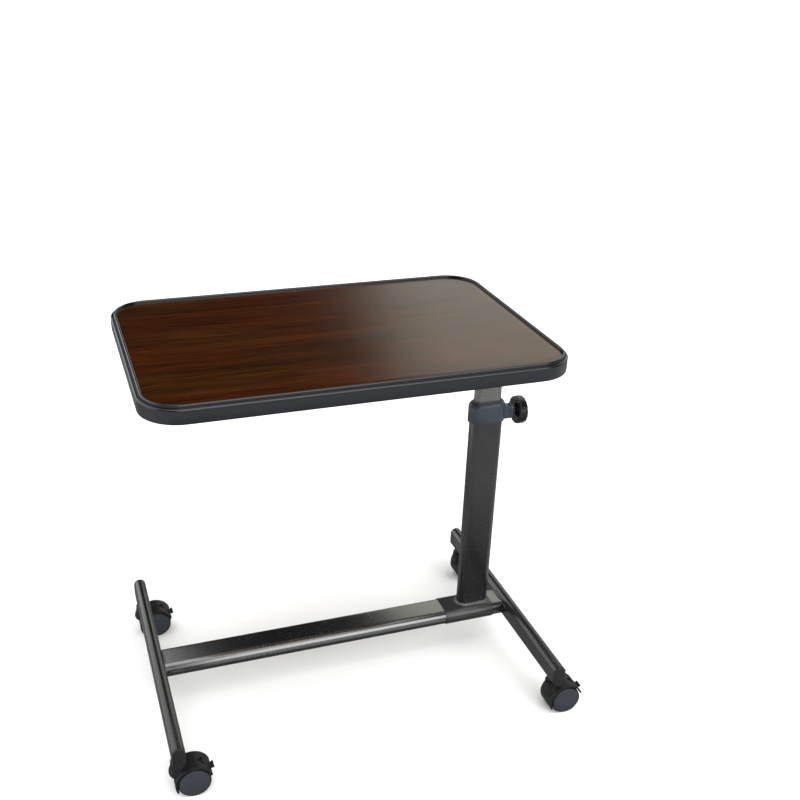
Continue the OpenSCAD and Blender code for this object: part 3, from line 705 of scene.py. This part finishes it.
boolean(coll, [revolve([(6.3, CX + 20), (6.3, CX + 31.3), (4.4, CX + 31.35), (4.4, CX + 50)], 40, "x", (0, 0, CLAMP_Z)), hex_cut])
clean(coll.data, 40, 0.3)
bevel(coll, 0.35, 2, 50, 42)
piece("collar_clamp", coll, COLLAR, "collar_plastic", "column_collar")

hx = np.array(hexo) * (13.0 / 13.2)
hn = np.array([(math.cos(rad(60 * i)), math.sin(rad(60 * i))) for i in range(6)])
nut = [np.array([(CX + x, a * k, b * k + CLAMP_Z) for a, b in hx]) for x, k in ((39.02, 0.90), (39.7, 1), (44.8, 1), (45.48, 0.90))]
nob = link("clamp_hex_nut", mesh_of("clamp_hex_nut", skin(nut), 30))
boolean(nob, [revolve([(4.0, CX + 38), (4.0, CX + 47)], 40, "x", (0, 0, CLAMP_Z))])
bevel(nob, 0.15, 1, 40)
piece("clamp_hex_nut", nob, ZINC, "zinc_steel", "clamp_nut")
piece("clamp_pad_shoe", refined("clamp_pad", "clamp_pad_shoe", 0.25, 2), NYLON, "pad_nylon", "clamp_pad")


def threaded(x0, x1, r, pitch, depth, at, n=40, per=6):
    """A rod along X with a helical thread between plain chamfered ends."""
    m = int((x1 - x0) / pitch * per)
    xs = np.linspace(x0, x1, m)
    th = np.linspace(0, 2 * np.pi, n, endpoint=False)
    rows = [np.stack([np.full(n, x0), np.cos(th) * (r - 0.9), np.sin(th) * (r - 0.9)], 1)]
    for x in xs:
        ph = (x / pitch - th / (2 * np.pi)) % 1.0
        tri = np.clip(np.abs(ph - 0.5) * 2 * 1.25 - 0.12, 0, 1)
        end = min(1.0, (x - x0) / 1.2, (x1 - x) / 1.2)
        rr = r - depth * (1 - tri) - 0.85 * (1 - max(0, end)) * tri
        rows.append(np.stack([np.full(n, x), np.cos(th) * rr, np.sin(th) * rr], 1))
    rows.append(np.stack([np.full(n, x1), np.cos(th) * (r - 0.9), np.sin(th) * (r - 0.9)], 1))
    return skin([q + np.array(at) for q in rows])


piece("clamp_screw", threaded(STUD_X0, STUD_X1, STUD_R, 1.25, 0.62, (0, 0, CLAMP_Z)), ZINC, "zinc_steel", "clamp_stud", angle=50)


def lobed(n=256, lobes=8, D=24.1, rs=2.7, R=23.0):
    """Outline and normals of the grip: eight flats with a narrow groove at each corner."""
    t = np.linspace(0, 2 * np.pi, n, endpoint=False)
    step = 2 * np.pi / lobes
    flat = (t + step / 2) % step - step / 2                 # from the middle of the nearest flat
    corner = t % step - step / 2                            # from the nearest corner
    r = np.minimum(KNOB_R / np.cos(flat), R)
    s = np.abs(D * np.sin(corner)) < rs
    g = D * np.cos(corner) - np.sqrt(np.maximum(rs ** 2 - (D * np.sin(corner)) ** 2, 0))
    r = np.where(s, np.minimum(r, g), r)
    q = (np.roll(r, 1) + 2 * r + np.roll(r, -1)) / 4
    r = np.minimum(q, r + 0.0)
    P = np.stack([r * np.cos(t), r * np.sin(t)], 1)
    d = np.roll(P, -1, 0) - np.roll(P, 1, 0)
    N = np.stack([d[:, 1], -d[:, 0]], 1)
    N /= np.linalg.norm(N, axis=1)[:, None]
    N = 0.55 * N + 0.45 * P / np.linalg.norm(P, axis=1)[:, None]
    return P, N / np.linalg.norm(N, axis=1)[:, None]


def lobed_knob():
    n = 256
    o = lobed(n)
    P, N = o
    T = KNOB_X1 - KNOB_X0
    u = circle_o(n)[1]
    rows = [ring(circle_o(n), -r, KNOB_X0 + h, "x") for r, h in ((3.97, 12), (3.97, 0.3), (4.3, 0), (9.0, 0))]
    for k in (0.35, 0.7):
        q = u * 9.0 * (1 - k) + (P - N * 2.6) * k
        rows.append(np.stack([np.full(n, KNOB_X0), q[:, 0], q[:, 1]], 1))
    back = [(2.5 - 2.5 * math.sin(rad(a)), 2.5 - 2.5 * math.cos(rad(a))) for a in range(0, 91, 15)]
    front = [(3.5 - 3.5 * math.cos(rad(a)), T - 3.5 + 3.5 * math.sin(rad(a))) for a in range(0, 91, 11)]
    for d, h in back + [(0, 5.0), (0, T / 2), (0, T - 5.0)] + front + [(3.6, T)]:
        rows.append(ring(o, d, KNOB_X0 + h, "x"))
    for k in (0.35, 0.7, 1.0):                   # face runs in to a round recess
        q = u * 10.3 * k + (P - N * 3.6) * (1 - k)
        rows.append(np.stack([np.full(n, KNOB_X1), q[:, 0], q[:, 1]], 1))
    for r, h in [(10.05, -0.06), (9.9, -0.22), (8.75, -1.02), (8.55, -1.15), (8.2, -1.2), (5.0, -1.2), (2.0, -1.2), (0.0, -1.2)]:
        rows.append(ring(circle_o(n), -r, KNOB_X1 + h, "x"))
    v, f = skin(rows, caps=(True, False))
    return v + np.array((0, 0, CLAMP_Z)), f


piece("lobed_knob", lobed_knob(), KNOB, "knob_gloss", "clamp_knob", angle=40)

# ------------------------------------------------------------------ base
bar_o = oval_o(BAR_W, BAR_H, 30)
# the bar wears the darker copy of the charcoal powder, whose darker base colour is painted shade
piece("cross_bar_tube", tube(bar_o, WALL, BAR_X0, BAR_X1, "x", (0, 0, BAR_Z), 0.3), BAR_PAINT, "charcoal_powder", "cross_bar")
sad_o = oval_o(SAD_W, SAD_H, 30)
# the saddle wears the lighter copy of the charcoal powder, whose lighter base colour is a painted sheen
piece("saddle_sleeve", tube(sad_o, 1.18, SAD_X0, SAD_X1, "x", (0, 0, BAR_Z), 0.28), SADDLE, "charcoal_powder", "column_saddle")
beads = [bead(even_o(col_o, 330), 4.0, COL_Z0, 1, (CX, 0, 0), seed=2.0)]


def flat_bead(x, s, zs, length, leg=3.0, seed=0.0):
    """A rippled bead along Y, on top of or under the bar's end."""
    n = 120
    ys = np.linspace(-length / 2, length / 2, n)
    rows = []
    for i, y in enumerate(ys):
        ripple = abs(math.sin(math.pi * (y + length / 2) / 2.0)) ** 0.8
        end = min(1.0, (length / 2 - abs(y)) / 2.2 + 0.25)
        f = (0.84 + 0.12 * ripple + 0.04 * math.sin(y * 0.9 + seed)) * end
        pts = [(-0.6, -0.4), (leg * f, -0.4), (leg * f * 0.98, 0.0), (leg * f * 0.72, 1.0 * f), (leg * f * 0.42, 1.75 * f), (leg * f * 0.12, 2.25 * f), (-0.2, 2.4 * f), (-0.6, 2.3 * f)]
        rows.append(np.array([(x + s * a, y, BAR_Z + zs * (BAR_H / 2 + b)) for a, b in pts]))
    return skin(rows)


for i, (x, s) in enumerate(((BAR_X0, 1), (BAR_X1, -1))):
    for j, zs in enumerate((1, -1)):
        beads.append(flat_bead(x, s, zs, BAR_W - BAR_H - 1, 3.0, 1.7 * i + 0.9 * j))
piece("base_weld_beads", join(*beads), WELD, "weld_bead", "base_welds", angle=50)

foot_o = oval_o(FOOT_W, FOOT_H, 26)
fz = (FOOT_Z0 + FOOT_Z1) / 2
for side in ("left", "right"):
    fo = link(side + "_foot_tube", mesh_of(side + "_foot_tube", tube(foot_o, WALL, -FOOT_Y, FOOT_Y, "y", (FEET[side], 0, fz), 0.3)))
    ys = sorted({round(y, 3) for c, (x, y) in CAST.items()})
    boolean(fo, [revolve([(8.02, FOOT_Z0 - 20), (8.02, fz)], 40, "z", (FEET[side], y, 0)) for y in ys])
    piece(side + "_foot_tube", fo, PAINT, "charcoal_powder", side + "_foot")
ends = []
plug_o = oval_o(FOOT_W - 2 * WALL - 0.2, FOOT_H - 2 * WALL - 0.2, 26)
for side in ("left", "right"):
    for s in (-1, 1):
        a0 = (FEET[side], 0, fz)
        prof = [(0.7, 0.02), (0.7, 0.5), (0.12, 0.68), (0, 0.9), (0, 2.3), (0.1, 2.75), (0.38, 3.15), (0.85, 3.45), (1.5, 3.58), (2.2, 3.6), (8.6, 3.6)]
        ends.append(loft(foot_o, [(d, s * (FOOT_Y + h)) for d, h in prof], "y", a0))
        ends.append(loft(plug_o, [(0, s * FOOT_Y), (0, s * (FOOT_Y - 10.4)), (0.6, s * (FOOT_Y - 11)), (2, s * (FOOT_Y - 11)), (2, s * FOOT_Y)], "y", a0, closed=True))
piece("foot_cap_set", join(*ends), BLACK, "black_plastic", "foot_end_caps", angle=30)
sock = []
for c, (x, y) in CAST.items():
    z0 = FOOT_Z0 - 2
    sock.append(revolve([(5.55, z0), (5.55, z0 + 34), (6.2, z0 + 34), (7.6, z0 + 33.6), (8, z0 + 33), (8, z0 + 2.2), (8.2, z0 + 2), (9.1, z0 + 2), (9.6, z0 + 1.5), (9.6, z0 + 0.5), (9.1, z0)], 48, "z", (x, y, 0), closed=True))
piece("stem_socket_set", join(*sock), BLACK, "black_plastic", "stem_sockets", angle=30)

# ------------------------------------------------------------------ casters
stem_prof = [(0, 48.52), (4.9, 48.52), (5.5, 49.1), (5.5, FOOT_Z0 - 3), (8.1, FOOT_Z0 - 3), (8.5, FOOT_Z0 - 2.85), (8.5, FOOT_Z0 - 2.45), (8.1, FOOT_Z0 - 2.3), (5.5, FOOT_Z0 - 2.3),
             (5.5, FOOT_Z0 + 21.6), (5.2, FOOT_Z0 + 22), (4.9, FOOT_Z0 + 22.1), (4.9, FOOT_Z0 + 24.3), (5.2, FOOT_Z0 + 24.4), (5.5, FOOT_Z0 + 24.8), (5.5, FOOT_Z0 + 27), (4.6, FOOT_Z0 + 28.6), (3.6, FOOT_Z0 + 29), (0, FOOT_Z0 + 29)]
tyre = [(3.05, 6.3), (19.0, 6.3), (21.6, 6.32), (23.2, 6.55), (24.2, 6.95), (24.8, 7.6), (25.0, 8.4), (25.0, 11.9), (24.94, 12.0), (25.0, 12.1), (25.0, 15.7), (24.88, 16.6), (24.6, 17.4), (24.2, 17.95), (23.75, 18.22), (23.42, 18.1),
        (23.3, 17.8), (23.2, 17.6), (23.08, 17.6), (23.0, 17.8), (22.92, 18.15), (22.7, 18.42), (22.3, 18.58)]
tyre += [(r, 20 - 1.5 * (r / 22.9) ** 2) for r in (21.5, 20, 18, 16, 13.5, 11, 8.5, 6, 3.5, 1.5)] + [(0, 20)]


def wheel(side, x, y):
    rows = [(0.0, 17.0), (3.05, 17.0)] + tyre
    return revolve([(r, side * h) for r, h in rows], 96, "y", (x + TRAIL, y, AX_Z))


def twin_wheel(c, w, side, x, y):
    """One wheel; a vertex value marks the tread and rim apart from the cover disc."""
    name = c + "_twin_wheel_" + w
    me = mesh_of(name, wheel(side, x, y), 30)
    at = me.attributes.new("tread", "FLOAT", "POINT")
    for v in me.vertices:
        r = math.hypot(v.co.x * 1000 - x - TRAIL, v.co.z * 1000 - AX_Z)
        at.data[v.index].value = 1.0 if r > 23.04 or abs(v.co.y * 1000 - y) < 8 else 0.0
    piece(name, link(name, me), WHEEL, "wheel_slate", c + "_wheel_" + w)


for c, (x, y) in CAST.items():
    piece(c + "_caster_stem", revolve(stem_prof, 40, "z", (x, y, 0)), STEM, "black_steel", c + "_stem", angle=30)
    piece(c + "_axle_pin", revolve([(0, -16.8), (2.6, -16.8), (3.0, -16.4), (3.0, 16.4), (2.6, 16.8), (0, 16.8)], 32, "y", (x + TRAIL, y, AX_Z)), ZINC, "zinc_steel", c + "_axle", angle=30)
    for w, s in (("a", -1), ("b", 1)):
        twin_wheel(c, w, s, x, y)
    piece(c + "_caster_hood", refined(c + "_hood", c + "_caster_hood", 0.45, 2, 32, 40), HOOD, "caster_black", c + "_hood")
    piece(c + "_brake_pedal", refined(c + "_pedal", c + "_brake_pedal", 0.3, 2, 32, 40), HOOD, "caster_black", c + "_pedal")

# ------------------------------------------------------------------ stage, camera and light
scene = bpy.context.scene
scene.view_settings.view_transform = "Standard"
fl = Mat("floor")
fn = fl.noise(2.2, 3.0)
fl.set(Base_Color=fl.mix(fl.rng(fn, 0.3, 0.7, 0.0, 1.0), (0.895, 0.895, 0.895), (0.905, 0.905, 0.905)), Roughness=0.8, Specular_IOR_Level=0.2)
floor = link("studio_floor", mesh_of("studio_floor", (np.array([(-60000, -60000, 0), (60000, -60000, 0), (60000, 60000, 0), (-60000, 60000, 0)]), [(0, 1, 2, 3)])))
floor.data.materials.append(fl.m)

cam = bpy.data.cameras.new("camera")
co = bpy.data.objects.new("camera", cam)
scene.collection.objects.link(co)
F, PX, PY = 1036.717, 374.294, 422.619
cam.sensor_width = 36.0
cam.lens = F / 800 * 36
cam.shift_x, cam.shift_y = (400 - PX) / 800, (PY - 400) / 800
cam.clip_start, cam.clip_end = 0.05, 200
rv = Vector((2.01442612, -0.31445978, 0.23059366))
Rm = Matrix.Rotation(rv.length, 3, rv.normalized())      # world to camera: right, down, forward
M = Matrix((Rm[0], -Rm[1], -Rm[2])).transposed().to_4x4()
M.translation = Vector((-411.759 + TX, -1369.787, 1192.556)) * MM
co.matrix_world = M
scene.camera = co

# broad soft light from above; it lights the surfaces but isn't mirrored in them
la = bpy.data.lights.new("soft_top", "SUN")
la.energy, la.angle = 3.1, rad(80)
soft = bpy.data.objects.new("soft_top", la)
scene.collection.objects.link(soft)
soft.rotation_euler = Vector((-0.12, 0.5, -0.86)).to_track_quat("-Z", "Y").to_euler()
soft.visible_glossy = False

world = bpy.data.worlds.new("studio")
scene.world = world
world.use_nodes = True
wn = world.node_tree
wn.nodes.clear()


def wnode(kind, **props):
    n = wn.nodes.new(kind)
    for k, v in props.items():
        setattr(n, k, v)
    return n


wtc = wnode("ShaderNodeTexCoord")


def wmath(op, a, b=0.0, clamp=False):
    n = wnode("ShaderNodeMath", operation=op, use_clamp=clamp)
    for i, v in enumerate((a, b)):
        if isinstance(v, bpy.types.NodeSocket):
            wn.links.new(v, n.inputs[i])
        else:
            n.inputs[i].default_value = v
    return n.outputs[0]


def facing(vec, a, b):
    """0 to 1 as the direction's component along vec goes from a to b, smoothly."""
    d = wnode("ShaderNodeVectorMath", operation="DOT_PRODUCT")
    wn.links.new(wtc.outputs["Generated"], d.inputs[0])
    d.inputs[1].default_value = Vector(vec).normalized()
    r = wnode("ShaderNodeMapRange", interpolation_type="SMOOTHSTEP")
    wn.links.new(d.outputs["Value"], r.inputs[0])
    r.inputs[1].default_value, r.inputs[2].default_value = a, b
    return r.outputs[0]


def ae(az, el):
    """Direction: azimuth to the right of +Y, elevation up."""
    return (math.sin(rad(az)) * math.cos(rad(el)), math.cos(rad(az)) * math.cos(rad(el)), math.sin(rad(el)))


def times(*v):
    out_ = v[0]
    for x in v[1:]:
        out_ = wmath("MULTIPLY", out_, x)
    return out_


def over(angle, soft):
    """1 above the plane through the X axis that rises from the front by the angle."""
    return facing((0, math.sin(rad(angle)), math.cos(rad(angle))), -soft, soft)


def under(angle, soft):
    return facing((0, -math.sin(rad(angle)), -math.cos(rad(angle))), -soft, soft)


# softbox in front, white sweep below, slanted cards behind on both sides, dark room above the back
key = times(over(8, 0.06), under(50, 0.08), facing((1, 0, 0), -0.32, -0.12), facing((-1, 0, 0), -0.74, -0.52), 2.4)
top = times(facing((0, -0.10, 1), math.sin(rad(55)), math.sin(rad(74))), 1.7)
low = times(facing((0, 0, -1), 0.0, 0.10), wmath("SUBTRACT", 1.0, times(facing((0, -0.25, -1), 0.57, 0.88), 0.82)), wmath("SUBTRACT", 1.0, times(facing((0, 1, 0), 0.0, 0.8), 0.55)), 0.53)
card = times(facing((0.92499, -0.20204, -0.32182), -0.032, 0.036), facing(ae(48, 14), math.cos(rad(46)), math.cos(rad(24))), facing((0, 0, 1), -0.02, 0.08), 0.9)
left = times(facing((-1, 0, 0), 0.08, 0.20), facing(ae(-58, 12), math.cos(rad(60)), math.cos(rad(38))), facing((0, 0, 1), -0.30, -0.10), 1.25)
total = 0.014
for part in (key, top, low, left):
    total = wmath("ADD", part, total)
bg = wnode("ShaderNodeBackground")
wn.links.new(total, bg.inputs["Strength"])
bg.inputs["Color"].default_value = (1.0, 1.0, 1.0, 1)
warm = wnode("ShaderNodeBackground")
wn.links.new(card, warm.inputs["Strength"])
warm.inputs["Color"].default_value = (1.0, 1.03, 0.90, 1)
both = wnode("ShaderNodeAddShader")
wn.links.new(bg.outputs[0], both.inputs[0])
wn.links.new(warm.outputs[0], both.inputs[1])
white = wnode("ShaderNodeBackground")
white.inputs["Color"].default_value = (1.0, 1.0, 1.0, 1)
lp = wnode("ShaderNodeLightPath")
mixs = wnode("ShaderNodeMixShader")
out = wnode("ShaderNodeOutputWorld")
wn.links.new(lp.outputs["Is Camera Ray"], mixs.inputs[0])
wn.links.new(both.outputs[0], mixs.inputs[1])
wn.links.new(white.outputs[0], mixs.inputs[2])
wn.links.new(mixs.outputs[0], out.inputs[0])
floor.visible_glossy = False
